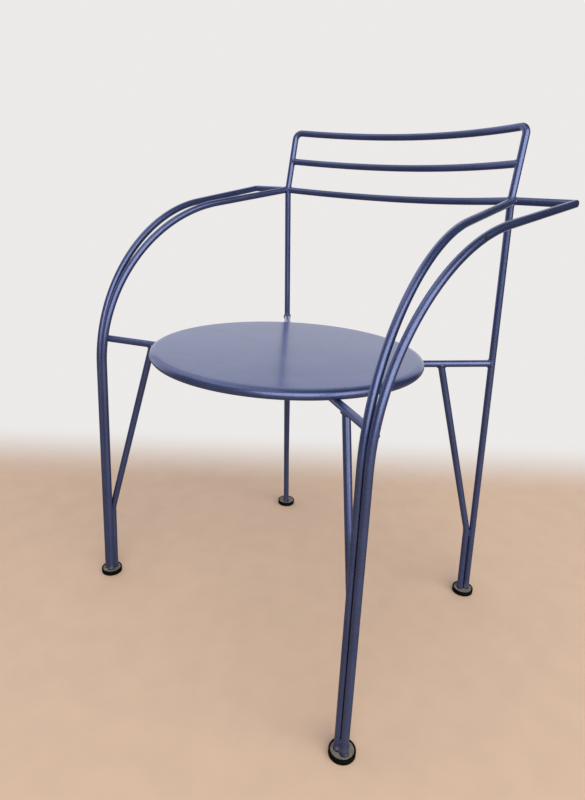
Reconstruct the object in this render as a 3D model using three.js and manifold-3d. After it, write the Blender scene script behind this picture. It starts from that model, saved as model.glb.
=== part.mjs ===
// Round-seat armchair of welded steel rod with a rolled sheet seat.
// Millimetres, +Z up, front towards -Y, origin under the middle of the chair on the floor.
// Left and right are as seen by someone who stands in front of the chair.

import * as THREE from 'three';
import { mergeVertices } from 'three/addons/utils/BufferGeometryUtils.js';
import Module from 'manifold-3d';

const wasm = await Module();
wasm.setup();

// Stock and fits
const ROD = 10.6; // painted diameter of every rod in the frame
const GAP = 0.3; // seam between two pieces that are welded or seated together
const ROD_SIDES = 12;
const BEND_STEPS = 5; // facets along a tight bend
const SWEEP_STEPS = 12; // facets along a wide bend or a bow

// Seat
const SEAT_HEIGHT = 448.9; // top of the seat at its middle
const SEAT_DIAMETER = 404;
const SEAT_Y = -40.6; // middle of the seat
const SEAT_TILT = 1.15; // degrees, front edge higher than the back edge
const SEAT_SHEET = 2;
const SEAT_RIM = 14; // depth of the rolled edge
const SHOULDER_RADIUS = 15; // soft fall of the top towards the edge
const SHOULDER_ANGLE = 30; // degrees through which the shoulder falls
const ROLL_ANGLE = 220; // degrees through which the edge is turned down and under
const SEAT_SEGMENTS = 60;

// Back frame: two legs, a kink at arm height, and the top rail
const ARM_HEIGHT = 668.6; // rod axis at the kink and at the back end of the arms
const KINK_X = 214;
const KINK_Y = 177.5;
const BACK_FOOT_X = 222.8;
const BACK_FOOT_Y = 212.6;
const BACK_RISE = 97.6; // kink to top rail, upright
const BACK_LEAN = 18; // how far the top rail's ends lie behind the kink
const TOP_BOW = 42.3; // how far the top rail's middle lies behind its ends
const MIDDLE_BOW = 40.8;
const LOWER_BOW = 37;
const MIDDLE_RAIL_RISE = 49.2; // kink to middle rail, upright
const KINK_BEND = 35;
const TOP_BEND = 11.5;

// Arms, which turn down into the front legs
const ARM_CORNER_X = 300; // outer back corner of an arm
const ARM_CORNER_Y = 179.4;
const MITRE_TIP = 5.8; // from the corner's axis to where its sharp tip is ground off
const KNEE_X = 259.4; // where arm and leg would meet if the bend were sharp
const KNEE_Y = -191.5;
const KNEE_HEIGHT = 612.3;
const ARM_BEND = 260;
const ARM_START = 4; // inner arm's axis beside the upright's, at the back end
const FRONT_FOOT_X = 269.8;
const FRONT_FOOT_Y = -207.7;
const PAIR_TURN = 1.5; // degrees by which the outer leg rod is turned ahead of the inner one

// Struts under the seat and braces down to the feet
const HUB_Y = -27.3; // where the four struts meet
const HUB_DROP = 27.5; // strut axis below the seat's top, at the hub
const BRACE_REACH = 228; // hub to the head of a brace, along the strut
const BRACE_KINK = 130; // height at which a brace comes to lie against its leg
const BRACE_BEND = 45;
const BRACE_TURN = 70; // degrees from the pair's line to a front brace, seen from the inner leg rod

// Feet: a steel disc in a rubber cup
const DISC_DIAMETER = 30.6;
const DISC_THICKNESS = 3;
const DISC_CHAMFER = 0.5;
const CUP_FLOOR = 4.3;
const CUP_WALL = 2.2;
const CUP_LIP = 0.8; // how far the cup's rim stands above the disc
const CUP_ROUND = 0.7;
const FOOT_SEGMENTS = 28;

// Finish
const PAINT = { color: 0x2e3058, roughness: 0.36, metalness: 0.35 };
const DUSTY_STEEL = { color: 0x8c8983, roughness: 0.75, metalness: 0.3 };
const RUBBER = { color: 0x17150f, roughness: 0.8, metalness: 0 };

const SPACING = ROD + GAP; // axis to axis of two rods side by side
const SIDES = { left: -1, right: 1 };

const degrees = THREE.MathUtils.degToRad;
const vec = (x, y, z) => new THREE.Vector3(x, y, z);

// Centre line of a rod: straight runs with a round bend at each inner corner.
class RodLine extends THREE.Curve {
  constructor(corners, bends = [], steps = BEND_STEPS) {
    super();
    this.stations = [corners[0]];
    for (let i = 1; i < corners.length - 1; i += 1) {
      this.addBend(corners[i - 1], corners[i], corners[i + 1], bends[i - 1] ?? 0, steps);
    }
    this.stations.push(corners[corners.length - 1]);
  }

  addBend(before, corner, after, radius, steps) {
    if (radius === 0) {
      this.stations.push(corner);
      return;
    }
    const back = before.clone().sub(corner).normalize();
    const ahead = after.clone().sub(corner).normalize();
    const half = back.angleTo(ahead) / 2;
    const middle = back.clone().add(ahead).normalize();
    const centre = corner.clone().addScaledVector(middle, radius / Math.sin(half));
    const axis = back.clone().cross(ahead).normalize();
    const spoke = corner.clone().addScaledVector(back, radius / Math.tan(half)).sub(centre);
    const turn = half * 2 - Math.PI;
    for (let i = 0; i <= steps; i += 1) {
      this.stations.push(spoke.clone().applyAxisAngle(axis, (turn * i) / steps).add(centre));
    }
  }

  get steps() {
    return this.stations.length - 1;
  }

  getPoint(u, target = new THREE.Vector3()) {
    const place = Math.min(u * this.steps, this.steps - 1e-9);
    const i = Math.floor(place);
    return target.lerpVectors(this.stations[i], this.stations[i + 1], place - i);
  }

  getPointAt(u, target) {
    return this.getPoint(u, target);
  }

  getTangentAt(u, target = new THREE.Vector3()) {
    const i = Math.round(u * this.steps);
    const before = this.stations[Math.max(i - 1, 0)];
    const here = this.stations[i];
    const after = this.stations[Math.min(i + 1, this.steps)];
    const arriving = here.clone().sub(before).normalize();
    const leaving = after.clone().sub(here).normalize();
    return target.copy(arriving).add(leaving).normalize();
  }
}

// Closed geometry as a solid that can be joined and cut.
function solid(geometry) {
  const bare = geometry.clone();
  bare.deleteAttribute('normal');
  bare.deleteAttribute('uv');
  const welded = mergeVertices(bare, 1e-4);
  const index = welded.index.array;
  const triangles = [];
  for (let i = 0; i < index.length; i += 3) {
    const [a, b, c] = [index[i], index[i + 1], index[i + 2]];
    if (a !== b && b !== c && c !== a) {
      triangles.push(a, b, c);
    }
  }
  const vertProperties = new Float32Array(welded.attributes.position.array);
  const triVerts = new Uint32Array(triangles);
  return new wasm.Manifold(new wasm.Mesh({ numProp: 3, vertProperties, triVerts }));
}

function piece(name, body, finish) {
  const data = body.getMesh();
  const geometry = new THREE.BufferGeometry();
  geometry.setAttribute('position', new THREE.BufferAttribute(new Float32Array(data.vertProperties), 3));
  geometry.setIndex(new THREE.BufferAttribute(new Uint32Array(data.triVerts), 1));
  geometry.computeVertexNormals();
  const mesh = new THREE.Mesh(geometry, new THREE.MeshStandardMaterial(finish));
  mesh.name = name;
  return mesh;
}

// Round rod along a centre line; `extra` thickens it to cut a seam in its neighbours.
function rod(line, extra = 0) {
  const section = [];
  for (let i = 0; i < ROD_SIDES; i += 1) {
    const angle = (2 * Math.PI * i) / ROD_SIDES;
    const radius = ROD / 2 + extra;
    section.push(new THREE.Vector2(radius * Math.cos(angle), radius * Math.sin(angle)));
  }
  const options = { steps: line.steps, extrudePath: line, bevelEnabled: false };
  return solid(new THREE.ExtrudeGeometry(new THREE.Shape(section), options));
}

const seam = (line) => rod(line, GAP);

// Takes away all that lies behind a plane through `point`, `normal` pointing to the side that stays.
function trim(body, point, normal, size) {
  const block = new THREE.BoxGeometry(size, size, size);
  block.translate(0, 0, -size / 2);
  block.applyQuaternion(new THREE.Quaternion().setFromUnitVectors(vec(0, 0, 1), normal));
  block.translate(point.x, point.y, point.z);
  return body.subtract(solid(block));
}

// Body of revolution about +Z from a profile of radius and height.
function turned(profile, segments) {
  const geometry = new THREE.LatheGeometry(profile, segments);
  geometry.rotateX(Math.PI / 2);
  return solid(geometry);
}

const arc = (x, y, radius, from, to, steps) => Array.from({ length: steps + 1 }, (_, i) => {
  const angle = degrees(from + ((to - from) * i) / steps);
  return new THREE.Vector2(x + radius * Math.cos(angle), y + radius * Math.sin(angle));
});

// Heights and places that several pieces share
const DISC_TOP = CUP_FLOOR + GAP + DISC_THICKNESS;
const ROD_FOOT = DISC_TOP + GAP;
const UPRIGHT = vec(0, BACK_LEAN, BACK_RISE).normalize();
const BACKWARDS = vec(1, 0, 0).cross(UPRIGHT).negate(); // square to the leaning uprights

const kink = (side) => vec(side * KINK_X, KINK_Y, ARM_HEIGHT);
const backFoot = (side) => vec(side * BACK_FOOT_X, BACK_FOOT_Y, 0);
const armCorner = (side) => vec(side * ARM_CORNER_X, ARM_CORNER_Y, ARM_HEIGHT);

const onUpright = (side, rise) => kink(side).addScaledVector(UPRIGHT, rise / UPRIGHT.z);

function onBackLeg(side, height) {
  return backFoot(side).lerp(kink(side), height / ARM_HEIGHT);
}

function onFrontLeg(side, height) {
  const foot = vec(side * FRONT_FOOT_X, FRONT_FOOT_Y, 0);
  return foot.lerp(vec(side * KNEE_X, KNEE_Y, KNEE_HEIGHT), height / KNEE_HEIGHT);
}

// The front leg is a pair of rods; `place` is +1 for the outer rod and -1 for the inner one.
const pairAxis = (side) => vec(side * Math.cos(degrees(PAIR_TURN)), -Math.sin(degrees(PAIR_TURN)), 0);
const behindPair = (side) => vec(side * Math.sin(degrees(PAIR_TURN)), Math.cos(degrees(PAIR_TURN)), 0);

function onLegRod(side, place, height) {
  return onFrontLeg(side, height).addScaledVector(pairAxis(side), (place * SPACING) / 2);
}

// Points of a rail that bows backwards between the two uprights, ends included
function bowed(rise, bow, steps) {
  return Array.from({ length: steps + 1 }, (_, i) => {
    const across = (2 * i) / steps - 1;
    const end = onUpright(1, rise);
    return vec(end.x * across, end.y, end.z).addScaledVector(BACKWARDS, bow * (1 - across ** 2));
  });
}

// Centre lines
function backFrameLine() {
  const top = bowed(BACK_RISE, TOP_BOW, SWEEP_STEPS).slice(1, -1);
  const left = [backFoot(-1), kink(-1), onUpright(-1, BACK_RISE)];
  const right = [onUpright(1, BACK_RISE), kink(1), backFoot(1)];
  const bends = [KINK_BEND, TOP_BEND, ...top.map(() => 0), TOP_BEND, KINK_BEND];
  return new RodLine([...left, ...top, ...right], bends);
}

const railLine = (rise, bow) => new RodLine(bowed(rise, bow, SWEEP_STEPS));

function cornerBarLine(side) {
  const start = kink(side);
  const overrun = armCorner(side).sub(start).setLength(ROD);
  return new RodLine([start, armCorner(side).add(overrun)]);
}

function outerArmLine(side) {
  const knee = onLegRod(side, 1, KNEE_HEIGHT);
  const start = armCorner(side);
  const overrun = start.clone().sub(knee).setLength(ROD);
  return new RodLine([start.add(overrun), knee, onLegRod(side, 1, 0)], [ARM_BEND], SWEEP_STEPS);
}

function innerArmLine(side) {
  const start = kink(side).add(vec(side * ARM_START, 0, 0));
  const knee = onLegRod(side, -1, KNEE_HEIGHT);
  return new RodLine([start, knee, onLegRod(side, -1, 0)], [ARM_BEND], SWEEP_STEPS);
}

// The seat's flat top and the underside of its rolled edge, as heights over a place on the floor
const seatTop = (y) => SEAT_HEIGHT - Math.tan(degrees(SEAT_TILT)) * (y - SEAT_Y);
const seatUnder = (y) => seatTop(y) - SEAT_RIM / Math.cos(degrees(SEAT_TILT));
const ROLL_RADIUS = (SEAT_RIM - SEAT_SHEET - SHOULDER_RADIUS * (1 - Math.cos(degrees(SHOULDER_ANGLE))))
  / (1 + Math.cos(degrees(SHOULDER_ANGLE)));
const ROLL_CIRCLE = SEAT_DIAMETER / 2 - SEAT_SHEET / 2 - ROLL_RADIUS; // lowest ring of the rolled edge

const HUB = vec(0, HUB_Y, seatTop(HUB_Y) - HUB_DROP);

// Level direction of a strut from the hub. A front strut runs past the back of the inner leg rod.
function strutHeading(side, front) {
  const height = seatUnder(HUB_Y) - ROD / 2;
  if (!front) {
    return onBackLeg(side, height).sub(HUB).setZ(0).normalize();
  }
  const inner = onLegRod(side, -1, height).sub(HUB).setZ(0);
  const aside = Math.asin(SPACING / inner.length());
  return inner.normalize().applyAxisAngle(vec(0, 0, 1), side * aside);
}

// Point on a strut's axis. The strut climbs so that it just clears the underside of the seat's edge.
function onStrut(side, front, reach) {
  const heading = strutHeading(side, front);
  const offset = vec(0, HUB_Y - SEAT_Y, 0);
  const along = offset.dot(heading);
  const atEdge = Math.sqrt(ROLL_CIRCLE ** 2 - offset.lengthSq() + along ** 2) - along;
  const edge = HUB.clone().addScaledVector(heading, atEdge);
  const climb = (seatUnder(edge.y) - GAP - ROD / 2 - HUB.z) / atEdge;
  return HUB.clone().addScaledVector(heading, reach).add(vec(0, 0, climb * reach));
}

function strutLength(side, front) {
  const height = onStrut(side, front, BRACE_REACH).z;
  const leg = front ? onLegRod(side, 1, height) : onBackLeg(side, height);
  const reach = leg.sub(HUB).dot(strutHeading(side, front));
  return front ? reach - ROD / 2 : reach;
}

function strutLine(side, front) {
  return new RodLine([HUB, onStrut(side, front, strutLength(side, front))]);
}

// A front brace lies behind the inner leg rod, near the pair's groove. A back brace lies inside its leg.
function onBraceFoot(side, front, height) {
  if (front) {
    const turn = degrees(BRACE_TURN);
    const aside = pairAxis(side).multiplyScalar(SPACING * Math.cos(turn));
    const behind = behindPair(side).multiplyScalar(SPACING * Math.sin(turn));
    return onLegRod(side, -1, height).add(aside).add(behind);
  }
  return onBackLeg(side, height).addScaledVector(strutHeading(side, front), -SPACING);
}

function braceLine(side, front) {
  const head = onStrut(side, front, BRACE_REACH);
  const corner = onBraceFoot(side, front, BRACE_KINK);
  return new RodLine([head, corner, onBraceFoot(side, front, 0)], [BRACE_BEND]);
}

// Solids
const cutFlush = (body) => trim(body, vec(0, 0, ROD_FOOT), vec(0, 0, 1), 2 * ARM_HEIGHT);

function backFrame() {
  return cutFlush(rod(backFrameLine()));
}

function rail(rise, bow) {
  return rod(railLine(rise, bow)).subtract(seam(backFrameLine()));
}

// The corner bar and the outer arm rod meet in a mitre, which halves the angle between them.
function mitre(side) {
  const corner = armCorner(side);
  const alongArm = onLegRod(side, 1, KNEE_HEIGHT).sub(corner).normalize();
  const alongBar = kink(side).sub(corner).normalize();
  const inwards = alongArm.clone().add(alongBar).normalize();
  return { corner, inwards, normal: alongArm.sub(alongBar).normalize() };
}

function grindTip(body, { corner, inwards }) {
  return trim(body, corner.clone().addScaledVector(inwards, -MITRE_TIP), inwards, 6 * ROD);
}

function cornerBar(side) {
  const joint = mitre(side);
  const face = joint.corner.clone().addScaledVector(joint.normal, -GAP / 2);
  const coped = rod(cornerBarLine(side)).subtract(seam(backFrameLine()));
  return grindTip(trim(coped, face, joint.normal.clone().negate(), 6 * ROD), joint);
}

function outerArm(side) {
  const joint = mitre(side);
  const face = joint.corner.clone().addScaledVector(joint.normal, GAP / 2);
  return cutFlush(grindTip(trim(rod(outerArmLine(side)), face, joint.normal, 6 * ROD), joint));
}

function innerArm(side) {
  const coped = rod(innerArmLine(side)).subtract(seam(cornerBarLine(side))).subtract(seam(backFrameLine()));
  return cutFlush(coped);
}

// At the hub each strut is cut to a point between its two neighbours.
function strut(side, front) {
  const heading = strutHeading(side, front);
  let body = rod(strutLine(side, front));
  for (const neighbour of [strutHeading(-side, front), strutHeading(side, !front)]) {
    const normal = heading.clone().sub(neighbour).normalize();
    body = trim(body, HUB.clone().addScaledVector(normal, GAP / 2), normal, 6 * ROD);
  }
  if (!front) {
    return body.subtract(seam(backFrameLine()));
  }
  return body.subtract(seam(innerArmLine(side))).subtract(seam(outerArmLine(side)));
}

function brace(side, front) {
  return cutFlush(rod(braceLine(side, front)).subtract(seam(strutLine(side, front))));
}

// One sheet: flat top, soft shoulder, and an edge rolled down and under.
function seat() {
  const rim = SEAT_DIAMETER / 2;
  const rollX = rim - SEAT_SHEET / 2 - ROLL_RADIUS;
  const rollY = -SEAT_RIM + SEAT_SHEET / 2 + ROLL_RADIUS;
  const fall = 90 - SHOULDER_ANGLE;
  const shoulderX = rollX - (SHOULDER_RADIUS - ROLL_RADIUS) * Math.cos(degrees(fall));
  const shoulderY = rollY - (SHOULDER_RADIUS - ROLL_RADIUS) * Math.sin(degrees(fall));
  const skin = (offset) => [
    ...arc(shoulderX, shoulderY, SHOULDER_RADIUS + offset, 90, fall, 3),
    ...arc(rollX, rollY, ROLL_RADIUS + offset, fall, 90 - ROLL_ANGLE, 8).slice(1),
  ];
  const outside = [new THREE.Vector2(0, 0), ...skin(SEAT_SHEET / 2)];
  const inside = [new THREE.Vector2(0, -SEAT_SHEET), ...skin(-SEAT_SHEET / 2)];
  return turned([...outside, ...inside.reverse()].reverse(), SEAT_SEGMENTS);
}

function footDisc() {
  const radius = DISC_DIAMETER / 2;
  return turned([
    new THREE.Vector2(0, 0),
    new THREE.Vector2(radius, 0),
    new THREE.Vector2(radius, DISC_THICKNESS - DISC_CHAMFER),
    new THREE.Vector2(radius - DISC_CHAMFER, DISC_THICKNESS),
    new THREE.Vector2(0, DISC_THICKNESS),
  ], FOOT_SEGMENTS);
}

function footCup() {
  const inside = DISC_DIAMETER / 2 + GAP;
  const outside = inside + CUP_WALL;
  const height = DISC_TOP + CUP_LIP;
  return turned([
    new THREE.Vector2(0, 0),
    new THREE.Vector2(outside - CUP_ROUND, 0),
    new THREE.Vector2(outside, CUP_ROUND),
    new THREE.Vector2(outside, height - CUP_ROUND),
    new THREE.Vector2(outside - CUP_ROUND, height),
    new THREE.Vector2(inside, height),
    new THREE.Vector2(inside, CUP_FLOOR),
    new THREE.Vector2(0, CUP_FLOOR),
  ], FOOT_SEGMENTS);
}

// Each foot is centred under the rods that stand on it.
function footCentre(side, front) {
  const braceEnd = onBraceFoot(side, front, ROD_FOOT);
  if (!front) {
    return braceEnd.add(onBackLeg(side, ROD_FOOT)).divideScalar(2).setZ(0);
  }
  const legRods = onFrontLeg(side, ROD_FOOT).multiplyScalar(2);
  return braceEnd.add(legRods).divideScalar(3).setZ(0);
}

// Assembly
const chair = new THREE.Group();
chair.add(piece('back_frame', backFrame(), PAINT));
chair.add(piece('middle_back_rail', rail(MIDDLE_RAIL_RISE, MIDDLE_BOW), PAINT));
chair.add(piece('lower_back_rail', rail(0, LOWER_BOW), PAINT));

const seatMesh = piece('seat', seat(), PAINT);
seatMesh.position.set(0, SEAT_Y, SEAT_HEIGHT);
seatMesh.rotation.x = -degrees(SEAT_TILT);
chair.add(seatMesh);

for (const [name, side] of Object.entries(SIDES)) {
  chair.add(piece(`${name}_corner_bar`, cornerBar(side), PAINT));
  chair.add(piece(`${name}_outer_arm`, outerArm(side), PAINT));
  chair.add(piece(`${name}_inner_arm`, innerArm(side), PAINT));
  for (const [end, front] of [['front', true], ['back', false]]) {
    chair.add(piece(`${end}_${name}_strut`, strut(side, front), PAINT));
    chair.add(piece(`${end}_${name}_brace`, brace(side, front), PAINT));
    const foot = new THREE.Group();
    foot.position.copy(footCentre(side, front));
    foot.add(piece(`${end}_${name}_rubber_cup`, footCup(), RUBBER));
    const disc = piece(`${end}_${name}_foot_disc`, footDisc(), DUSTY_STEEL);
    disc.position.z = CUP_FLOOR + GAP;
    foot.add(disc);
    chair.add(foot);
  }
}

// Origin on the floor, under the middle of the whole chair
const extent = new THREE.Box3().setFromObject(chair, true);
const middle = extent.getCenter(new THREE.Vector3());
chair.position.set(-middle.x, -middle.y, -extent.min.z);

export default chair;
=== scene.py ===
# %% [markdown]
# # A blue armchair of bent rod
#
# The chair is a frame of round steel rod, bent and welded, with a round sheet seat and four small feet.
# Everything above the feet wears one coat of glossy blue-violet paint. The solids come in first, in
# metres. Each of them is then drawn again in its own place, smoother, with its welds and its finish.

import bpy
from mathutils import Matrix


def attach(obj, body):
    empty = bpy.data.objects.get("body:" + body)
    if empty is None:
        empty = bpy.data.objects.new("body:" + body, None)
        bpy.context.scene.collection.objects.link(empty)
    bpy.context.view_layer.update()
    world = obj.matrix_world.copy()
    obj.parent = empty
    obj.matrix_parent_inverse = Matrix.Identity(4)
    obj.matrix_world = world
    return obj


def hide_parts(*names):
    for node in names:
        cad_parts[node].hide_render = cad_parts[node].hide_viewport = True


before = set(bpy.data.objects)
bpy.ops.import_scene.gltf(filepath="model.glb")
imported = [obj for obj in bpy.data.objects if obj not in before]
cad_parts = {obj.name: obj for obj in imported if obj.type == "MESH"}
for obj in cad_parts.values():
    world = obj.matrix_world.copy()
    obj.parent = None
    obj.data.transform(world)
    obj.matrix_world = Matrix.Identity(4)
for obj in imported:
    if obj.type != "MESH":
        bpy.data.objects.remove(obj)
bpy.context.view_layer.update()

# %% [markdown]
# ## The camera
#
# The picture was taken from in front of the chair and to its right, a little above the arms and close
# by, so the near leg looks large. Three turns describe such a camera well: which way it faces, how far
# it looks down, and how far it leans to one side. The focal length is known in pixels of the picture,
# and becomes millimetres through the width of the sensor.

# %% Camera
import math

import bpy
from mathutils import Matrix, Vector

PICTURE_HEIGHT = 800
FOCAL_PIXELS = 601.4
CAMERA_PLACE = (0.5913, -0.6798, 0.6826)
CAMERA_FACING = math.radians(42.09)
CAMERA_DOWN = math.radians(19.91)
CAMERA_LEAN = math.radians(2.16)

lens = bpy.data.cameras.new("camera")
lens.lens = lens.sensor_width * FOCAL_PIXELS / PICTURE_HEIGHT
lens.clip_start = 0.01
turned = Matrix.Rotation(CAMERA_FACING, 3, "Z")
turned = turned @ Matrix.Rotation(math.radians(90) - CAMERA_DOWN, 3, "X")
turned = turned @ Matrix.Rotation(CAMERA_LEAN, 3, "Z")
camera = bpy.data.objects.new("camera", lens)
camera.location = CAMERA_PLACE
camera.rotation_euler = turned.to_euler()
bpy.context.scene.collection.objects.link(camera)
bpy.context.scene.camera = camera
bpy.context.scene.view_settings.view_transform = "Standard"
print(f"camera: lens {lens.lens:.1f} mm, {camera.location.length:.2f} m from the floor under the chair")

# %% [markdown]
# ## Helpers for node trees
#
# Materials and Geometry Nodes are both trees of nodes. One small function adds a node to either kind,
# sets its options, and fills each input with a number or with another node's output. The others are short
# names for what recurs: a blend of two colours, a ramp, a sum, noise, a bump and a new finish.

# %% Node helpers


def add(tree, kind, inputs=None, **options):
    node = tree.nodes.new(kind)
    for option, value in options.items():
        setattr(node, option, value)
    for socket, value in (inputs or {}).items():
        if isinstance(value, bpy.types.NodeSocket):
            tree.links.new(value, node.inputs[socket])
        else:
            node.inputs[socket].default_value = value
    return node


def blend(tree, share, first, second):
    colours = []
    for colour in (first, second):
        colours.append(colour if isinstance(colour, bpy.types.NodeSocket) else (*colour, 1))
    inputs = {0: share, 6: colours[0], 7: colours[1]}
    return add(tree, "ShaderNodeMix", inputs, data_type="RGBA").outputs[2]


def ramp(tree, value, low, high, start=0.0, end=1.0):
    inputs = {"Value": value, "From Min": low, "From Max": high, "To Min": start, "To Max": end}
    return add(tree, "ShaderNodeMapRange", inputs, interpolation_type="SMOOTHSTEP").outputs["Result"]


def sums(tree, operation, first, second):
    return add(tree, "ShaderNodeMath", {0: first, 1: second}, operation=operation).outputs[0]


def speckle(tree, place, size, detail=2.0):
    inputs = {"Vector": place, "Scale": 1 / size, "Detail": detail}
    return add(tree, "ShaderNodeTexNoise", inputs).outputs["Fac"]


def bumps(tree, height, strength, distance):
    inputs = {"Height": height, "Strength": strength, "Distance": distance}
    return add(tree, "ShaderNodeBump", inputs).outputs[0]


def new_finish(name):
    finish = bpy.data.materials.new(name)
    finish.use_nodes = True
    tree = finish.node_tree
    place = add(tree, "ShaderNodeTexCoord").outputs["Object"]
    return finish, tree, tree.nodes["Principled BSDF"], place


helpers = (add, blend, ramp, sums, speckle, bumps, new_finish)
print("helpers:", [helper.__name__ for helper in helpers])

# %% [markdown]
# ## The paint
#
# The paint is a blue-violet with a little metal flake under a clear, glossy skin. Seen steeply it is
# deep blue, and seen at a low angle the skin mirrors the pale room, which is why the seat looks almost
# grey. A Principled shader with metal, a coat and a blue edge tint does both. Fine noise makes the
# flakes, and coarse noise keeps large areas from looking flat.

# %% Colour of the paint
PAINT_BLUE = (0.140, 0.186, 0.45)
PAINT_DEEP = (0.060, 0.080, 0.23)
FLAKE_SIZE = 0.0009
CLOUD_SIZE = 0.06
FLAKE_SHARE = 0.75

paint, tree, shader, place = new_finish("blue_violet_paint")
flakes = ramp(tree, speckle(tree, place, FLAKE_SIZE), 0.3, 0.7, 0.0, FLAKE_SHARE)
clouds = ramp(tree, speckle(tree, place, CLOUD_SIZE), 0.3, 0.7, 0.0, 1 - FLAKE_SHARE)
colour = blend(tree, sums(tree, "ADD", flakes, clouds), PAINT_DEEP, PAINT_BLUE)
print(f"paint: flakes of {1000 * FLAKE_SIZE:.1f} mm, clouds of {1000 * CLOUD_SIZE:.0f} mm")

# %% [markdown]
# ## Dust, one chip and the skin
#
# The paint gets dusty towards the feet, and one chip on the right arm shows the dark ground coat. Both
# are masks made from a distance and roughened with noise: the height over the floor, and the way to the
# middle of the chip. Where a mask is on, metal and gloss give way. The fine waves of sprayed paint are a
# weak bump, which goes to the coat as well as to the colour under it.

# %% Dust and one chip
FLOOR_DUST = (0.30, 0.27, 0.24)
DUST_SIZE = 0.006
DUST_HEIGHTS = (0.008, 0.026)
DUST_MOST = 0.6
GROUND_COAT = (0.012, 0.015, 0.013)
CHIP_EDGE = (0.030, 0.029, 0.032)
CHIP_PLACE = (0.2845, -0.0325, 0.6310)
CHIP_RADIUS = 0.0038
CHIP_CUT = 0.0003
CHIP_BARE = (0.0004, 0.0012)
CHIP_GRAIN = 0.003
CHIP_RAGGED = 0.0016

height = add(tree, "ShaderNodeSeparateXYZ", {0: place}).outputs["Z"]
low_down = ramp(tree, height, *DUST_HEIGHTS, DUST_MOST, 0.0)
dusty = sums(tree, "MULTIPLY", low_down, ramp(tree, speckle(tree, place, DUST_SIZE, 4.0), 0.35, 0.7))
colour = blend(tree, dusty, colour, FLOOR_DUST)

apart = add(tree, "ShaderNodeVectorMath", {0: place, 1: CHIP_PLACE}, operation="DISTANCE")
wander = ramp(tree, speckle(tree, place, CHIP_GRAIN, 3.0), 0.2, 0.8, -CHIP_RAGGED, CHIP_RAGGED)
ragged = sums(tree, "ADD", apart.outputs["Value"], wander)
chipped = ramp(tree, ragged, CHIP_RADIUS, CHIP_RADIUS - CHIP_CUT)
bared = ramp(tree, ragged, CHIP_RADIUS - CHIP_BARE[0], CHIP_RADIUS - CHIP_BARE[1])
colour = blend(tree, chipped, colour, CHIP_EDGE)
colour = blend(tree, bared, colour, GROUND_COAT)
print(f"chip: {2000 * CHIP_RADIUS:.1f} mm across, dust up to {1000 * DUST_HEIGHTS[1]:.0f} mm")

# %% Skin of the paint
WAVE_SIZES = (0.0022, 0.0010)
WAVE_STRENGTH = 0.18
WAVE_HEIGHT = 0.0001
CHIP_DEPTH = 3.0
WHOLE_TO_WORN = {"Metallic": (0.85, 0.0), "Roughness": (0.38, 0.75), "Coat Weight": (1.0, 0.1)}
COAT_ROUGHNESS = 0.18
EDGE_TINT = (0.6, 0.7, 1.0, 1.0)

waves = sums(tree, "ADD", *[speckle(tree, place, size, 1.0) for size in WAVE_SIZES])
waves = sums(tree, "SUBTRACT", waves, sums(tree, "MULTIPLY", chipped, CHIP_DEPTH))
skin = bumps(tree, waves, WAVE_STRENGTH, WAVE_HEIGHT)
worn = sums(tree, "MAXIMUM", dusty, chipped)
for socket, levels in WHOLE_TO_WORN.items():
    tree.links.new(ramp(tree, worn, 0.0, 1.0, *levels), shader.inputs[socket])
tree.links.new(colour, shader.inputs["Base Color"])
tree.links.new(skin, shader.inputs["Normal"])
tree.links.new(skin, shader.inputs["Coat Normal"])
shader.inputs["Coat Roughness"].default_value = COAT_ROUGHNESS
shader.inputs["Specular Tint"].default_value = EDGE_TINT
print("paint:", len(tree.nodes), "nodes")

# %% [markdown]
# ## The feet's two finishes, and painted shade
#
# The discs under the rods are bare steel that has gone dull, with patches of grey-brown dirt. The cups
# below them are black rubber, matte and a little dusty. Both are rough, so noise in the colour and a
# fine bump do most of the work, and only the discs keep some metal. The dark between the rods and round
# their feet is painted shade: a nearly black finish that hardly shines.

# %% Steel
STEEL_GREY = (0.31, 0.305, 0.295)
STEEL_DIRT = (0.17, 0.145, 0.115)
STEEL_SPECKS = (0.10, 0.09, 0.075)
STEEL_PATCH = 0.007
STEEL_GRAIN = 0.0007

steel, tree, shader, place = new_finish("dusty_steel")
patches = ramp(tree, speckle(tree, place, STEEL_PATCH, 5.0), 0.38, 0.62)
grains = speckle(tree, place, STEEL_GRAIN)
colour = blend(tree, patches, STEEL_GREY, STEEL_DIRT)
colour = blend(tree, ramp(tree, grains, 0.55, 0.75, 0.0, 0.6), colour, STEEL_SPECKS)
tree.links.new(colour, shader.inputs["Base Color"])
tree.links.new(ramp(tree, patches, 0.0, 1.0, 0.5, 0.85), shader.inputs["Roughness"])
tree.links.new(ramp(tree, patches, 0.0, 1.0, 0.5, 0.0), shader.inputs["Metallic"])
tree.links.new(bumps(tree, grains, 0.5, 0.0002), shader.inputs["Normal"])
print("steel:", len(tree.nodes), "nodes")

# %% Rubber, and painted shade
RUBBER_BLACK = (0.003, 0.0028, 0.0027)
RUBBER_DUST = (0.014, 0.0125, 0.011)
RUBBER_SCUFF = 0.004
RUBBER_PORE = 0.0008
# Painted shade: colours of the dark lines laid in the grooves between rods and round the rods' feet.
SHADE_DARK = (0.003, 0.003, 0.006)
SHADE_PALE = (0.012, 0.011, 0.014)
SHADE_GRAIN = 0.003

rubber, tree, shader, place = new_finish("black_rubber")
scuffs = ramp(tree, speckle(tree, place, RUBBER_SCUFF, 5.0), 0.5, 0.8, 0.0, 0.7)
pores = bumps(tree, speckle(tree, place, RUBBER_PORE), 0.4, 0.00015)
tree.links.new(blend(tree, scuffs, RUBBER_BLACK, RUBBER_DUST), shader.inputs["Base Color"])
tree.links.new(ramp(tree, scuffs, 0.0, 0.7, 0.65, 0.9), shader.inputs["Roughness"])
tree.links.new(pores, shader.inputs["Normal"])
shader.inputs["Specular IOR Level"].default_value = 0.1

# The finish of the painted shade in the grooves and round the feet, nearly black and matte.
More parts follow.
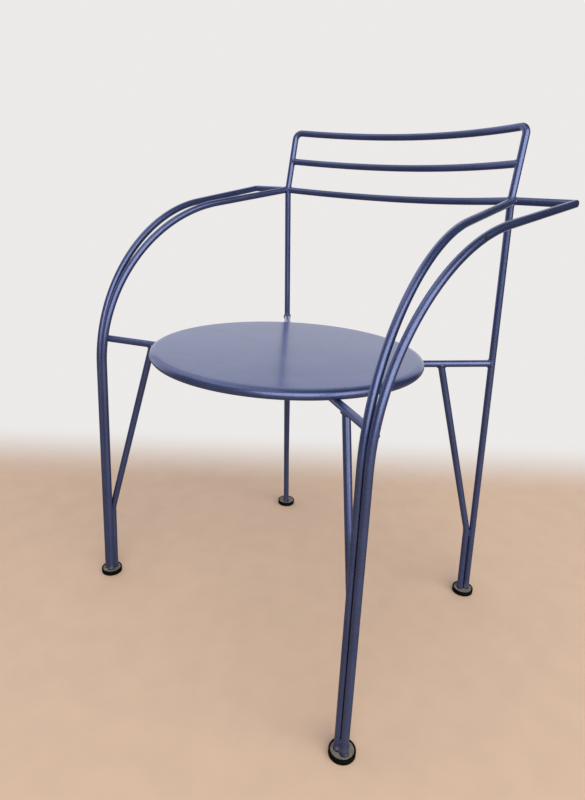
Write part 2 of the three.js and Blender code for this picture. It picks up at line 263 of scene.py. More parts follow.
shade_finish, tree, shader, place = new_finish("groove_painted_shade")
colour = blend(tree, speckle(tree, place, SHADE_GRAIN, 3.0), SHADE_DARK, SHADE_PALE)
tree.links.new(colour, shader.inputs["Base Color"])
shader.inputs["Roughness"].default_value = 0.85
shader.inputs["Specular IOR Level"].default_value = 0.15
print("finishes:", [finish.name for finish in (paint, steel, rubber, shade_finish)])

# %% [markdown]
# ## The plan of the frame
#
# A rod is a line with a radius at each bend. The frame is planned as such lines first: where each rod
# starts, where it kinks and where it ends. Left and right mirror each other, so each place is a function
# of its side, -1 or 1. Sizes are in metres, with the floor at zero and the front towards -Y.

# %% Sizes of the frame
SIDES = {"left": -1, "right": 1}
ROD = 0.0106
SPACING = 0.0105
ARM_HEIGHT = 0.6686
KINK_X = 0.214
KINK_Y = 0.1776
BACK_FOOT_X = 0.2228
BACK_FOOT_Y = 0.2127
BACK_RISE = 0.0976
BACK_LEAN = 0.018
ARM_CORNER_X = 0.300
ARM_CORNER_Y = 0.1795
KNEE_X = 0.2594
KNEE_Y = -0.1914
KNEE_HEIGHT = 0.6123
FRONT_FOOT_X = 0.2698
FRONT_FOOT_Y = -0.2076
PAIR_TURN = math.radians(1.5)
UPRIGHT = Vector((0, BACK_LEAN, BACK_RISE)).normalized()
BACKWARDS = Vector((0, UPRIGHT.z, -UPRIGHT.y))


def kink(side):
    return Vector((side * KINK_X, KINK_Y, ARM_HEIGHT))


def arm_corner(side):
    return Vector((side * ARM_CORNER_X, ARM_CORNER_Y, ARM_HEIGHT))


def on_upright(side, rise):
    return kink(side) + UPRIGHT * (rise / UPRIGHT.z)


def on_back_leg(side, height):
    foot = Vector((side * BACK_FOOT_X, BACK_FOOT_Y, 0))
    return foot.lerp(kink(side), height / ARM_HEIGHT)


def on_front_leg(side, height):
    foot = Vector((side * FRONT_FOOT_X, FRONT_FOOT_Y, 0))
    knee = Vector((side * KNEE_X, KNEE_Y, KNEE_HEIGHT))
    return foot.lerp(knee, height / KNEE_HEIGHT)


def on_leg_rod(side, place, height):
    across = Vector((side * math.cos(PAIR_TURN), -math.sin(PAIR_TURN), 0))
    return on_front_leg(side, height) + across * (place * SPACING / 2)


lean = on_front_leg(1, KNEE_HEIGHT) - on_front_leg(1, 0)
print("right front leg, foot to knee in mm:", [round(1000 * n, 1) for n in lean])

# %% [markdown]
# ## Back, arms and corner bars
#
# One rod makes both back legs and the top rail. Two more rails bow backwards between the uprights. On
# each side a short bar runs out to a mitred corner, the outer arm goes forward from there, the inner arm
# starts in the corner between the bar and the upright, and both turn down through the same wide bend into
# the front leg. An end that meets another rod is cut a little short, so that it stays inside that rod.

# %% Lines of the back
KINK_BEND = 0.035
TOP_BEND = 0.0115
RAIL_STEPS = 40
CORNER_STEPS = 2
RAILS = {"top": (BACK_RISE, 0.0423), "middle": (0.0492, 0.0408), "lower": (0.0, 0.037)}
DISC_TOP = 0.0076
ROD_SINK = 0.0004
ROD_END = DISC_TOP - ROD_SINK
SHORT_CUT = 0.0012


def bowed(rail):
    rise, bow = RAILS[rail]
    end = on_upright(1, rise)
    line = []
    for step in range(RAIL_STEPS + 1):
        across = 2 * step / RAIL_STEPS - 1
        line.append(Vector((end.x * across, end.y, end.z)) + BACKWARDS * (bow * (1 - across**2)))
    return line


def plain(points):
    return [(point, 0.0) for point in points]


def cut_short(point, towards):
    return point + (towards - point).normalized() * SHORT_CUT


def rail_line(rail):
    line = bowed(rail)
    line[0] = cut_short(line[0], line[1])
    line[-1] = cut_short(line[-1], line[-2])
    return plain(line)


def mirrored(line):
    return [(Vector((-point.x, point.y, point.z)), bend) for point, bend in reversed(line)]


half = [(on_back_leg(-1, ROD_END), 0.0), (kink(-1), KINK_BEND), (on_upright(-1, BACK_RISE), TOP_BEND)]
rod_lines = {
    "back_frame": half + plain(bowed("top")[CORNER_STEPS:-CORNER_STEPS]) + mirrored(half),
    "middle_back_rail": rail_line("middle"),
    "lower_back_rail": rail_line("lower"),
}
print("rods of the back:", list(rod_lines))

# %% Lines of the arms
ARM_BEND = 0.260
MITRE_RUN = 0.012
ARM_START = 0.004


def inner_start(side):
    return kink(side) + Vector((side * ARM_START, 0, 0))


for name, side in SIDES.items():
    corner = arm_corner(side)
    outer_knee = on_leg_rod(side, 1, KNEE_HEIGHT)
    inner_knee = on_leg_rod(side, -1, KNEE_HEIGHT)
    along_arm = (outer_knee - corner).normalized()
    along_bar = (kink(side) - corner).normalized()
    bar = [cut_short(kink(side), corner), corner + along_bar * MITRE_RUN, corner]
    rod_lines[f"{name}_corner_bar"] = plain(bar)
    arm = [(corner, 0.0), (corner + along_arm * MITRE_RUN, 0.0), (outer_knee, ARM_BEND)]
    rod_lines[f"{name}_outer_arm"] = arm + [(on_leg_rod(side, 1, ROD_END), 0.0)]
    arm = [(cut_short(inner_start(side), inner_knee), 0.0), (inner_knee, ARM_BEND)]
    rod_lines[f"{name}_inner_arm"] = arm + [(on_leg_rod(side, -1, ROD_END), 0.0)]
print("rods so far:", list(rod_lines))

# %% [markdown]
# ## Struts and braces
#
# Four struts lie under the seat and carry it. They rise outwards from a hidden meeting place, touch the
# seat's edge from below, and end on the legs. From each strut a brace drops to its leg, kinks, and runs
# beside the leg to the floor. A front brace sits behind the pair of leg rods, mostly behind the inner one.

# %% The seat's underside
SEAT_HEIGHT = 0.4489
SEAT_Y = -0.0405
SEAT_RADIUS = 0.2018
SEAT_TILT = math.radians(1.15)
SEAT_SHEET = 0.002
SEAT_RIM = 0.014
SHOULDER_RADIUS = 0.015
SHOULDER_ANGLE = math.radians(30)

slack = SEAT_RIM - SEAT_SHEET - SHOULDER_RADIUS * (1 - math.cos(SHOULDER_ANGLE))
ROLL_RADIUS = slack / (1 + math.cos(SHOULDER_ANGLE))
ROLL_CIRCLE = SEAT_RADIUS - SEAT_SHEET / 2 - ROLL_RADIUS


def seat_under(y):
    return SEAT_HEIGHT - math.tan(SEAT_TILT) * (y - SEAT_Y) - SEAT_RIM / math.cos(SEAT_TILT)


print(f"rolled edge: {2000 * ROLL_RADIUS:.1f} mm across, underside at {1000 * seat_under(SEAT_Y):.1f} mm")

# %% Lines of the struts and the braces
HUB_Y = -0.0272
HUB_DROP = 0.0275
BRACE_REACH = 0.228
BRACE_KINK = 0.130
BRACE_BEND = 0.045
BRACE_TURN = math.radians(70)
ENDS = {"front": -1, "back": 1}
UP = Vector((0, 0, 1))
HUB = Vector((0, HUB_Y, SEAT_HEIGHT - math.tan(SEAT_TILT) * (HUB_Y - SEAT_Y) - HUB_DROP))


def strut_heading(side, end):
    height = seat_under(HUB_Y) - ROD / 2
    if end > 0:
        heading = on_back_leg(side, height) - HUB
        return Vector((heading.x, heading.y, 0)).normalized()
    heading = on_leg_rod(side, -1, height) - HUB
    heading.z = 0
    aside = math.asin(SPACING / heading.length)
    return (Matrix.Rotation(side * aside, 3, "Z") @ heading).normalized()


def on_strut(side, end, reach):
    heading = strut_heading(side, end)
    offset = HUB_Y - SEAT_Y
    along = offset * heading.y
    at_edge = math.sqrt(ROLL_CIRCLE**2 - offset**2 + along**2) - along
    edge = HUB + heading * at_edge
    climb = (seat_under(edge.y) - ROD / 2 - HUB.z) / at_edge
    return HUB + heading * reach + UP * (climb * reach)


def strut_length(side, end):
    height = on_strut(side, end, BRACE_REACH).z
    if end > 0:
        return (on_back_leg(side, height) - HUB).dot(strut_heading(side, end))
    return (on_leg_rod(side, 1, height) - HUB).dot(strut_heading(side, end)) - ROD / 2


def on_brace(side, end, height):
    if end > 0:
        return on_back_leg(side, height) - strut_heading(side, end) * SPACING
    turn = BRACE_TURN - PAIR_TURN
    return on_leg_rod(side, -1, height) + Vector((side * math.cos(turn), math.sin(turn), 0)) * SPACING


for name, side in SIDES.items():
    for place, end in ENDS.items():
        tip = on_strut(side, end, strut_length(side, end))
        head = on_strut(side, end, BRACE_REACH)
        rod_lines[f"{place}_{name}_strut"] = plain([HUB, cut_short(tip, HUB) if end > 0 else tip])
        foot = on_brace(side, end, BRACE_KINK)
        brace = [(cut_short(head, foot), 0.0), (foot, BRACE_BEND)]
        rod_lines[f"{place}_{name}_brace"] = brace + [(on_brace(side, end, ROD_END), 0.0)]
print("rods in all:", len(rod_lines), "hub at", [round(1000 * n, 1) for n in HUB])

# %% [markdown]
# ## A node tree that bends rod
#
# Each line becomes a rod through one Geometry Nodes tree: the line turns into a curve, its bends are
# rounded by the radius kept on each point, and a circle is swept along it. A modelled tube with
# bevelled corners could do the same, but the tree needs only the points and the bend radii, as a rod
# bender would. The finished mesh is then taken off the tree, so nothing depends on it any more.

# %% The rod bender
ROD_SIDES = 32
BEND_STEPS = 40


def new_tree(name, inputs):
    tree = bpy.data.node_groups.new(name, "GeometryNodeTree")
    tree.interface.new_socket("Geometry", in_out="INPUT", socket_type="NodeSocketGeometry")
    for socket, kind in inputs.items():
        tree.interface.new_socket(socket, in_out="INPUT", socket_type=f"NodeSocket{kind}")
    tree.interface.new_socket("Geometry", in_out="OUTPUT", socket_type="NodeSocketGeometry")
    return tree, add(tree, "NodeGroupInput").outputs


def end_tree(tree, mesh, finish):
    smooth = add(tree, "GeometryNodeSetShadeSmooth", {"Geometry": mesh}).outputs[0]
    real = add(tree, "GeometryNodeRealizeInstances", {"Geometry": smooth}).outputs[0]
    painted = add(tree, "GeometryNodeSetMaterial", {"Geometry": real, "Material": finish}).outputs[0]
    add(tree, "NodeGroupOutput", {"Geometry": painted})


def kept_number(tree, name):
    return add(tree, "GeometryNodeInputNamedAttribute", {"Name": name}, data_type="FLOAT").outputs[0]


rod_bender, given = new_tree("rod_bender", {"Radius": "Float", "Sides": "Int", "Finish": "Material"})
curve = add(rod_bender, "GeometryNodeMeshToCurve", {"Mesh": given["Geometry"]}).outputs[0]
bends = {"Curve": curve, "Radius": kept_number(rod_bender, "bend"), "Count": BEND_STEPS, "Limit Radius": True}
curve = add(rod_bender, "GeometryNodeFilletCurve", bends, mode="POLY").outputs[0]
ring = {"Radius": given["Radius"], "Resolution": given["Sides"]}
ring = add(rod_bender, "GeometryNodeCurvePrimitiveCircle", ring).outputs[0]
sweep = {"Curve": curve, "Profile Curve": ring, "Fill Caps": True}
sweep = add(rod_bender, "GeometryNodeCurveToMesh", sweep).outputs[0]
end_tree(rod_bender, sweep, given["Finish"])
print("rod bender:", len(rod_bender.nodes), "nodes")

# %% Run a tree, and keep only its mesh
import bmesh


def line_mesh(name, attribute, lines):
    points = []
    edges = []
    numbers = []
    for line, closed in lines:
        first = len(points)
        points.extend(point for point, _ in line)
        numbers.extend(number for _, number in line)
        edges.extend((first + step, first + step + 1) for step in range(len(line) - 1))
        if closed:
            edges.append((len(points) - 1, first))
    mesh = bpy.data.meshes.new(name)
    mesh.from_pydata(points, edges, [])
    mesh.attributes.new(attribute, "FLOAT", "POINT").data.foreach_set("value", numbers)
    return mesh


def face_outwards(mesh):
    shape = bmesh.new()
    shape.from_mesh(mesh)
    if shape.calc_volume(signed=True) < 0:
        bmesh.ops.reverse_faces(shape, faces=shape.faces)
        shape.to_mesh(mesh)
    shape.free()


def run_tree(tree, name, mesh, values):
    piece = bpy.data.objects.new(name, mesh)
    bpy.context.scene.collection.objects.link(piece)
    modifier = piece.modifiers.new(tree.name, "NODES")
    modifier.node_group = tree
    for item in tree.interface.items_tree:
        if item.in_out == "INPUT" and item.name in values:
            modifier[item.identifier] = values[item.name]
    graph = bpy.context.evaluated_depsgraph_get()
    finished = bpy.data.meshes.new_from_object(piece.evaluated_get(graph))
    piece.modifiers.clear()
    piece.data = finished
    face_outwards(finished)
    return piece


def settle(piece, slot, *nodes):
    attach(piece, "root")
    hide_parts(*nodes)


print("tree runner:", [helper.__name__ for helper in (line_mesh, face_outwards, run_tree, settle)])

# %% [markdown]
# ## The rods, and the ground mitres
#
# All rods come off the same tree. At the two arm corners the outer arm and the corner bar were cut on a
# mitre, welded and ground round. So the last ring of each of these rods slides along its rod onto the
# mitre's plane, and the part that would stand out as a sharp tip is pulled in.

# %% Bend the rods
MITRE_REACH = ROD * 0.6
MITRE_TIP = 0.0079
TIP_GROUND = 0.27


def mitre_end(mesh, corner, along, other):
    cut = (along - other).normalized()
    outwards = -(along + other).normalized()
    for vertex in mesh.vertices:
        if (vertex.co - corner).length < MITRE_REACH:
            slide = (corner - vertex.co).dot(cut) / along.dot(cut)
            moved = vertex.co + along * slide
            out = (moved - corner).dot(outwards)
            if out > 0:
                moved = moved - outwards * (out * TIP_GROUND * (out / MITRE_TIP) ** 2)
            vertex.co = moved


faces = 0
for node, line in rod_lines.items():
    values = {"Radius": ROD / 2, "Sides": ROD_SIDES, "Finish": paint}
    rod = run_tree(rod_bender, f"{node}_rod", line_mesh(node, "bend", [(line, False)]), values)
    side = 1 if "right" in node else -1
    corner = arm_corner(side)
    along_arm = (on_leg_rod(side, 1, KNEE_HEIGHT) - corner).normalized()
    along_bar = (kink(side) - corner).normalized()
    if node.endswith("outer_arm"):
        mitre_end(rod.data, corner, along_arm, along_bar)
    if node.endswith("corner_bar"):
        mitre_end(rod.data, corner, along_bar, along_arm)
    settle(rod, "paint", node)
    faces += len(rod.data.polygons)
print("rods:", len(rod_lines), "faces:", faces)

# %% [markdown]
# ## The seat
#
# The seat is one round of sheet steel. It is flat, falls away at the edge in a soft shoulder, and the
# edge is rolled down and under, so no raw sheet shows. A half section of it, turned round its own axis,
# gives the whole shape. The section runs out along the top skin and back along the underside.

# %% Turn a section round an axis


def arc(centre, radius, start, stop, steps):
    points = []
    for step in range(steps + 1):
        angle = start + (stop - start) * step / steps
        points.append((centre[0] + radius * math.cos(angle), centre[1] + radius * math.sin(angle)))
    return points


def lathe(name, section, segments, finish, placed):
    rings = section[1:-1]
    points = [placed @ Vector((0, 0, section[0][1]))]
    for radius, height in rings:
        for step in range(segments):
            angle = 2 * math.pi * step / segments
            points.append(placed @ Vector((radius * math.cos(angle), radius * math.sin(angle), height)))
    points.append(placed @ Vector((0, 0, section[-1][1])))
    faces = []
    for step in range(segments):
        after = (step + 1) % segments
        faces.append((0, 1 + after, 1 + step))
        for ring in range(len(rings) - 1):
            low = 1 + ring * segments
            high = low + segments
            faces.append((low + step, low + after, high + after, high + step))
        last = 1 + (len(rings) - 1) * segments
        faces.append((last + step, last + after, len(points) - 1))
    mesh = bpy.data.meshes.new(name)
    mesh.from_pydata(points, [], faces)
    mesh.materials.append(finish)
    mesh.shade_smooth()
    face_outwards(mesh)
    piece = bpy.data.objects.new(name, mesh)
    bpy.context.scene.collection.objects.link(piece)
    return piece


print("lathe:", [helper.__name__ for helper in (arc, lathe)])

# %% Seat
SEAT_SEGMENTS = 160
SHOULDER_STEPS = 10
ROLL_STEPS = 24
FLAT_RINGS = (0.25, 0.5, 0.75, 0.9)
ROLL_TURN = 220
TOP = math.radians(90)
FALL = TOP - SHOULDER_ANGLE
ROLL_END = math.radians(90 - ROLL_TURN)

roll = (ROLL_CIRCLE, SEAT_SHEET / 2 + ROLL_RADIUS - SEAT_RIM)
inset = SHOULDER_RADIUS - ROLL_RADIUS
shoulder = (roll[0] - inset * math.cos(FALL), roll[1] - inset * math.sin(FALL))


def seat_skin(offset):
    edge = arc(shoulder, SHOULDER_RADIUS + offset, TOP, FALL, SHOULDER_STEPS)
    edge += arc(roll, ROLL_RADIUS + offset, FALL, ROLL_END, ROLL_STEPS)[1:]
    flat = [(edge[0][0] * share, edge[0][1]) for share in FLAT_RINGS]
    return [(0, edge[0][1])] + flat + edge


section = seat_skin(SEAT_SHEET / 2) + seat_skin(-SEAT_SHEET / 2)[::-1]
placed = Matrix.Translation((0, SEAT_Y, SEAT_HEIGHT)) @ Matrix.Rotation(-SEAT_TILT, 4, "X")
seat = lathe("seat_sheet", section, SEAT_SEGMENTS, paint, placed)
settle(seat, "paint", "seat")
print("seat:", len(seat.data.polygons), "faces,", round(2000 * SEAT_RADIUS, 1), "mm across")

# %% [markdown]
# ## Discs and cups
#
# Under each leg the rods end on one small steel disc, and a rubber cup with a round rim holds the disc
# off the floor. They are turned on the same lathe as the seat, each where its leg comes down.

# %% Feet
DISC_RADIUS = 0.0153
DISC_LOW = 0.0046
DISC_CHAMFER = 0.0006
CUP_FLOOR = 0.0043
CUP_INNER = 0.0156
CUP_OUTER = 0.0177
CUP_TOP = 0.0084
CUP_ROUND = 0.0008
CUP_SOLE = CUP_OUTER - 0.0012
CHAMFER_STEPS = 4
ROUND_STEPS = 5
LIP_STEPS = 8
FOOT_SEGMENTS = 64


def foot_place(side, end):
    brace = on_brace(side, end, DISC_TOP)
    if end > 0:
        return (brace + on_back_leg(side, DISC_TOP)) / 2
    return (brace + on_front_leg(side, DISC_TOP) * 2) / 3


def disc_section():
    shaft = DISC_RADIUS - DISC_CHAMFER
    section = [(0, DISC_LOW), (shaft, DISC_LOW)]
    section += arc((shaft, DISC_LOW + DISC_CHAMFER), DISC_CHAMFER, -math.pi / 2, 0, CHAMFER_STEPS)
    section += arc((shaft, DISC_TOP - DISC_CHAMFER), DISC_CHAMFER, 0, math.pi / 2, CHAMFER_STEPS)
    return section + [(DISC_RADIUS - 2 * DISC_CHAMFER, DISC_TOP), (0, DISC_TOP)]


def cup_section():
    lip = (CUP_OUTER - CUP_INNER) / 2
    section = [(0, 0), (CUP_SOLE, 0)]
    section += arc((CUP_OUTER - CUP_ROUND, CUP_ROUND), CUP_ROUND, -math.pi / 2, 0, ROUND_STEPS)
    section += arc((CUP_INNER + lip, CUP_TOP - lip), lip, 0, math.pi, LIP_STEPS)
    return section + [(CUP_INNER, CUP_FLOOR), (0, CUP_FLOOR)]


feet = []
for name, side in SIDES.items():
    for place, end in ENDS.items():
        at = foot_place(side, end)
        placed = Matrix.Translation((at.x, at.y, 0))
        disc = lathe(f"{place}_{name}_worn_disc", disc_section(), FOOT_SEGMENTS, steel, placed)
        settle(disc, "dusty_steel", f"{place}_{name}_foot_disc")
        cup = lathe(f"{place}_{name}_moulded_cup", cup_section(), FOOT_SEGMENTS, rubber, placed)
        settle(cup, "rubber", f"{place}_{name}_rubber_cup")
        feet += [disc, cup]
print("feet:", len(feet), "pieces")

# %% [markdown]
# ## The weld beads
#
# Wherever two rods meet there is a bead of weld under the paint: a ring where one rod butts against
# another, and short stitches where two lie side by side. The place where a round rod meets another is a
# saddle-shaped line, and its points can be worked out: each line along the surface of the first rod is
# followed until it reaches the second. Where a front strut ends behind the outer leg rod, a half ring
# makes a larger lump. Each seam is kept as a line with the size of its bead at every point.

# %% Lines for beads
SEAM_STEPS = 40
STITCH_STEPS = 8
GROOVE_DEPTH = 0.22


def saddle(base, along, post, post_along, bead):
    first = along.orthogonal().normalized()
    second = along.cross(first).normalized()
    slant = along - post_along * along.dot(post_along)
    seam = []
    for step in range(SEAM_STEPS):
        angle = 2 * math.pi * step / SEAM_STEPS
        start = base + (first * math.cos(angle) + second * math.sin(angle)) * (ROD / 2)
        gap = start - post
        gap = gap - post_along * gap.dot(post_along)
        half_b = gap.dot(slant)
        inside = half_b**2 - slant.dot(slant) * (gap.dot(gap) - (ROD / 2) ** 2)
        reach = (-half_b + math.sqrt(max(inside, 0))) / slant.dot(slant)
        seam.append((start + along * reach, bead))
    return seam, True


def stitch(pair, side, away, low, high, bead):
    line = []
    for step in range(STITCH_STEPS + 1):
        first, second = pair(side, low + (high - low) * step / STITCH_STEPS)
        line.append(((first + second) / 2 + away * (ROD * GROOVE_DEPTH), bead))
    return line, False


def around(centre, radius, bead):
    ring = []
    for step in range(SEAM_STEPS):
        angle = 2 * math.pi * step / SEAM_STEPS
        ring.append((centre + Vector((math.cos(angle), math.sin(angle), 0)) * radius, bead))
    return ring, True


print("lines:", [helper.__name__ for helper in (saddle, stitch, around)])

# %% Seams where one rod butts another
RAIL_BEAD = 0.0011
ARM_BEAD = 0.0010
STRUT_BEAD = 0.0018
LUMP_BEAD = 0.0030
LUMP_RADIUS = 0.0036
LUMP_STEPS = 8
LUMP_TURN = 20


def lump_behind(side, height):
    knee = on_leg_rod(side, 1, KNEE_HEIGHT)
    bend = (knee - on_leg_rod(side, 1, 0)).angle(arm_corner(side) - knee)
    above = height - KNEE_HEIGHT + ARM_BEND * math.tan(bend / 2)
    outer = on_leg_rod(side, 1, height) + Vector((0, above**2 / (2 * ARM_BEND), 0))
    lump = []
    for step in range(LUMP_STEPS):
        turn = math.radians(LUMP_TURN * (step + 1))
        spot = outer + Vector((side * math.cos(turn), math.sin(turn), 0)) * LUMP_RADIUS
        lump.append((spot, LUMP_BEAD))
    return lump, False


seams = []
for side in SIDES.values():
    for rail in ("middle", "lower"):
        line = bowed(rail) if side < 0 else bowed(rail)[::-1]
        along = (line[1] - line[0]).normalized()
        seams.append(saddle(line[0], along, on_upright(side, RAILS[rail][0]), UPRIGHT, RAIL_BEAD))
    along_bar = (arm_corner(side) - kink(side)).normalized()
    seams.append(saddle(kink(side), along_bar, kink(side), UPRIGHT, RAIL_BEAD))
    along_arm = (on_leg_rod(side, -1, KNEE_HEIGHT) - inner_start(side)).normalized()
    seams.append(saddle(inner_start(side), along_arm, kink(side), along_bar, ARM_BEAD))
    for end in ENDS.values():
        tip = on_strut(side, end, strut_length(side, end))
        head = on_strut(side, end, BRACE_REACH)
        heading = (head - tip).normalized()
        down = (on_brace(side, end, BRACE_KINK) - head).normalized()
        seams.append(saddle(head, down, head, heading, STRUT_BEAD))
        if end > 0:
            leg = (kink(side) - on_back_leg(side, 0)).normalized()
            seams.append(saddle(tip, heading, on_back_leg(side, tip.z), leg, STRUT_BEAD))
        else:
            seams.append(lump_behind(side, tip.z))
print("seams where one rod butts another:", len(seams))

# %% Stitches
PAIR_STITCH = (0.009, 0.030, 0.0020)
BACK_STITCH = (0.118, 0.130, 0.0014)
BRACE_STITCHES = ((0.009, 0.024, 0.0016), (0.112, 0.128, 0.0016))
FRONT = Vector((0, -1, 0))


def leg_pair(side, height):
    return on_leg_rod(side, 1, height), on_leg_rod(side, -1, height)


def back_pair(side, height):
    return on_back_leg(side, height), on_brace(side, 1, height)


def brace_pair(side, height):
    return on_leg_rod(side, -1, height), on_brace(side, -1, height)


for side in SIDES.values():
    seams.append(stitch(leg_pair, side, FRONT, *PAIR_STITCH))
    aside = strut_heading(side, 1).cross(UP)
    for flip in (-1, 1):
        seams.append(stitch(back_pair, side, aside * flip, *BACK_STITCH))
    inwards = Vector((-side, 0.3, 0)).normalized()
    for spot in BRACE_STITCHES:
        seams.append(stitch(brace_pair, side, inwards, *spot))
print("seams in all:", len(seams))

# %% [markdown]
# ## Painted shade in the grooves
#
# The deep shade in the grooves between two rods that lie side by side, and round the rods' feet on the
# discs, is painted: a thin dark line laid into each groove and a dark ring round each foot. It could be a
# mask in the paint, but a line follows the rods exactly and shows from every side.

# %% Lines of the painted shade
# Painted shade: dark lines along the grooves, given by the heights where each starts and ends and by its
# thickness, and dark rings round the rods' feet.
PAIR_GROOVE = (0.004, 0.40, 0.0008)
BACK_GROOVE = (0.004, 0.122, 0.0008)
FOOT_SHADE = 0.0006
FOOT_SHADE_GAP = 0.0002

grooves = []
for side in SIDES.values():
    for face in (-1, 1):
        grooves.append(stitch(leg_pair, side, Vector((0, face, 0)), *PAIR_GROOVE))
        aside = strut_heading(side, 1).cross(UP) * face
        grooves.append(stitch(back_pair, side, aside, *BACK_GROOVE))
    rod_ends = [on_leg_rod(side, place, DISC_TOP) for place in (-1, 1)]
    rod_ends += [on_brace(side, end, DISC_TOP) for end in ENDS.values()]
    rod_ends.append(on_back_leg(side, DISC_TOP))
    for middle in rod_ends:
        grooves.append(around(middle, ROD / 2 + FOOT_SHADE_GAP, FOOT_SHADE))
print("lines of dirt:", len(grooves))

# %% [markdown]
# ## A node tree that lays beads
#
# A second tree sweeps a small circle along all the lines at once. Its size comes from the number kept on
# each point, with the even ripple of a weld and some lumps from noise with a fixed seed, because no weld
# made by hand is regular. The painted shade in the grooves and round the feet is laid by the same tree, in
# its own finish.

# %% The bead layer
BEAD_SIDES = 10
RIPPLE_SHARE = 0.04
LUMP_SCALE = 350.0
LUMP_RANGE = (0.7, 1.25)

bead_inputs = {"Step": "Float", "Ripple": "Float", "Seed": "Float", "Finish": "Material"}
bead_layer, given = new_tree("bead_layer", bead_inputs)
curve = add(bead_layer, "GeometryNodeMeshToCurve", {"Mesh": given["Geometry"]}).outputs[0]
steps = {"Curve": curve, "Length": given["Step"]}
curve = add(bead_layer, "GeometryNodeResampleCurve", steps, mode="LENGTH").outputs[0]
run = add(bead_layer, "GeometryNodeSplineParameter").outputs["Length"]
turn = sums(bead_layer, "DIVIDE", sums(bead_layer, "MULTIPLY", run, 2 * math.pi), given["Ripple"])
ripple = add(bead_layer, "ShaderNodeMath", {0: turn}, operation="SINE").outputs[0]
ripple = sums(bead_layer, "MULTIPLY", ripple, RIPPLE_SHARE)
lumps = {"W": given["Seed"], "Scale": LUMP_SCALE, "Detail": 1.0}
lumps = add(bead_layer, "ShaderNodeTexNoise", lumps, noise_dimensions="4D").outputs["Fac"]
uneven = sums(bead_layer, "ADD", ramp(bead_layer, lumps, 0.2, 0.8, *LUMP_RANGE), ripple)
scale = sums(bead_layer, "MULTIPLY", kept_number(bead_layer, "bead"), uneven)
ring = {"Radius": 1.0, "Resolution": BEAD_SIDES}
ring = add(bead_layer, "GeometryNodeCurvePrimitiveCircle", ring).outputs[0]
sweep = {"Curve": curve, "Profile Curve": ring, "Scale": scale, "Fill Caps": True}
sweep = add(bead_layer, "GeometryNodeCurveToMesh", sweep).outputs[0]
end_tree(bead_layer, sweep, given["Finish"])
print("bead layer:", len(bead_layer.nodes), "nodes")

# %% Lay the beads and the painted shade
bead_values = {"Step": 0.0008, "Ripple": 0.0022, "Seed": 3.0, "Finish": paint}
painted_shade_values = {**bead_values, "Finish": shade_finish}

welds = run_tree(bead_layer, "weld_beads", line_mesh("seams", "bead", seams), bead_values)
settle(welds, "paint")
# The painted shade: dark lines in the grooves and rings round the feet, laid like the beads.
painted_shade = run_tree(bead_layer, "groove_painted_shade", line_mesh("grooves", "bead", grooves), painted_shade_values)
settle(painted_shade, "paint")
print("weld beads:", len(welds.data.polygons), "faces, dirt:", len(painted_shade.data.polygons), "faces")

# %% [markdown]
# ## The room and the floor
#
# The chair stands on a plain, pale floor that fades into the background, so no edge of it shows and the
# shadow stays. Light Path tells the rays apart. The camera sees a warm floor and one pale background. The
# glossy paint sees the same room, bright to the left of the chair and behind it and dim elsewhere, which
# gives the rods their dark sides. Rays that carry light from the floor to the chair meet a darker floor,
# so the chair isn't lit too strongly from below.

# %% The room that rays see
BLACK = (0, 0, 0)
BACKGROUND = (0.84, 0.825, 0.815)
BRIGHT_WALL = (-0.85, 0.53, 0.0)
WALL_EDGE = (0.3, 0.7)
WALL_LEVEL = 0.93
ROOM_FRONT = (-0.3, -0.95, 0.0)
FRONT_EDGE = (-0.6, 0.4)
DIM_LEVELS = (0.03, 0.17)


def dot(tree, first, second):
    node = add(tree, "ShaderNodeVectorMath", {0: first, 1: second}, operation="DOT_PRODUCT")
    return node.outputs["Value"]


def seen_room(tree, towards):
    light = add(tree, "ShaderNodeLightPath").outputs
    mirrored_rays = sums(tree, "MAXIMUM", light["Is Glossy Ray"], light["Is Transmission Ray"])
    seen = sums(tree, "MAXIMUM", light["Is Camera Ray"], mirrored_rays)
    heading = add(tree, "ShaderNodeVectorMath", {0: towards}, operation="NORMALIZE").outputs[0]
    dim = ramp(tree, dot(tree, heading, ROOM_FRONT), *FRONT_EDGE, *DIM_LEVELS)
    level = ramp(tree, dot(tree, heading, BRIGHT_WALL), *WALL_EDGE, dim, WALL_LEVEL)
    level = sums(tree, "MAXIMUM", level, light["Is Camera Ray"])
    return light["Is Camera Ray"], seen, blend(tree, level, BLACK, BACKGROUND)


print("mirrored room: from", DIM_LEVELS[0], "to", WALL_LEVEL, "of the background")

# %% Floor
FLOOR_REACH = 9
FLOOR_COLOUR = (0.74, 0.535, 0.41)
FLOOR_BOUNCE = (0.24, 0.19, 0.155)
FLOOR_CLOUDS = 0.05
FLOOR_SHADES = (0.97, 1.03)
FLOOR_ROUGHNESS = 0.6
BACKDROP = (-0.67, 0.742, 0.0)
FADE_BEHIND = (0.38, 0.70)
FADE_AROUND = (1.0, 2.0)
FADE_MIRRORED = (1.2, 2.8)

corners = [(x * FLOOR_REACH, y * FLOOR_REACH, 0) for x, y in ((-1, -1), (1, -1), (1, 1), (-1, 1))]
floor_mesh = bpy.data.meshes.new("floor")
floor_mesh.from_pydata(corners, [], [(0, 1, 2, 3)])
floor = bpy.data.objects.new("floor", floor_mesh)
bpy.context.scene.collection.objects.link(floor)

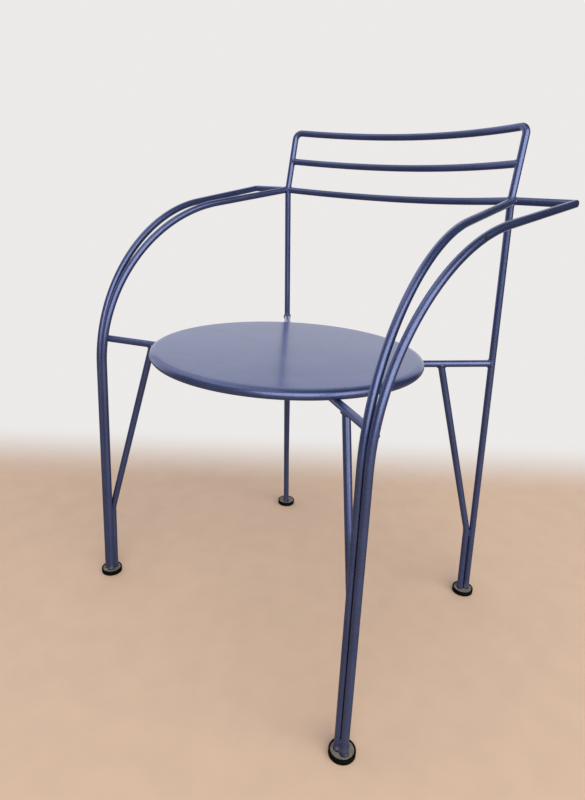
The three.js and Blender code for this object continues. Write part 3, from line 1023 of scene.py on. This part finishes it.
floor_finish, tree, shader, place = new_finish("pale_floor")
floor_mesh.materials.append(floor_finish)
shader.inputs["Roughness"].default_value = FLOOR_ROUGHNESS
shades = [[shade * n for n in FLOOR_COLOUR] for shade in FLOOR_SHADES]
warm = blend(tree, ramp(tree, speckle(tree, place, FLOOR_CLOUDS, 3.0), 0.2, 0.8), *shades)
shown, seen, room = seen_room(tree, place)
tree.links.new(blend(tree, shown, FLOOR_BOUNCE, warm), shader.inputs["Base Color"])
far = add(tree, "ShaderNodeVectorMath", {0: place}, operation="LENGTH").outputs["Value"]
behind = ramp(tree, dot(tree, place, BACKDROP), *FADE_BEHIND)
faded = sums(tree, "MAXIMUM", behind, ramp(tree, far, *FADE_AROUND))
fade = ramp(tree, shown, 0.0, 1.0, ramp(tree, far, *FADE_MIRRORED), faded)
fade = sums(tree, "MULTIPLY", fade, seen)
glow = add(tree, "ShaderNodeEmission", {"Color": room}).outputs[0]
both = add(tree, "ShaderNodeMixShader", {0: fade, 1: shader.outputs[0], 2: glow}).outputs[0]
tree.links.new(both, tree.nodes["Material Output"].inputs["Surface"])
print("floor fades", FADE_BEHIND, "m behind the chair and", FADE_AROUND, "m around it")

# %% [markdown]
# ## World and lamps
#
# The world gives an even, dim light and shows the room to the camera and to the paint. Most of the light
# comes from one lamp as large as a glass wall, on the right. It is large so that it can be dim. A small,
# bright lamp would light the floor as well, but it would burn out where the seat mirrors it. A weak lamp
# overhead softens the shadows.

# %% World
AMBIENT = (0.48, 0.48, 0.49)

world = bpy.data.worlds.new("room")
world.use_nodes = True
bpy.context.scene.world = world
tree = world.node_tree
_, seen, room = seen_room(tree, add(tree, "ShaderNodeTexCoord").outputs["Generated"])
tree.links.new(blend(tree, seen, AMBIENT, room), tree.nodes["Background"].inputs["Color"])
print("world:", len(tree.nodes), "nodes")

# %% Lamps
LAMP_COLOUR = (1.0, 0.965, 0.85)
LAMP_TARGET = Vector((0, 0, 0.4))
LAMPS = {
    "window_lamp": ((3.2, -1.4, 2.2), (7.0, 4.3), 206.0),
    "top_lamp": ((-0.6, -0.6, 2.6), (1.6, 1.6), 6.0),
}

for name, (spot, (width, depth), watts) in LAMPS.items():
    light = bpy.data.lights.new(name, "AREA")
    light.shape = "RECTANGLE"
    light.size = width
    light.size_y = depth
    light.energy = watts
    light.color = LAMP_COLOUR
    lamp = bpy.data.objects.new(name, light)
    lamp.location = spot
    lamp.rotation_euler = (LAMP_TARGET - lamp.location).to_track_quat("-Z", "Y").to_euler()
    lamp.visible_camera = False
    bpy.context.scene.collection.objects.link(lamp)
    print(f"{name}: {width * depth:.1f} square metres, {watts:.0f} W")
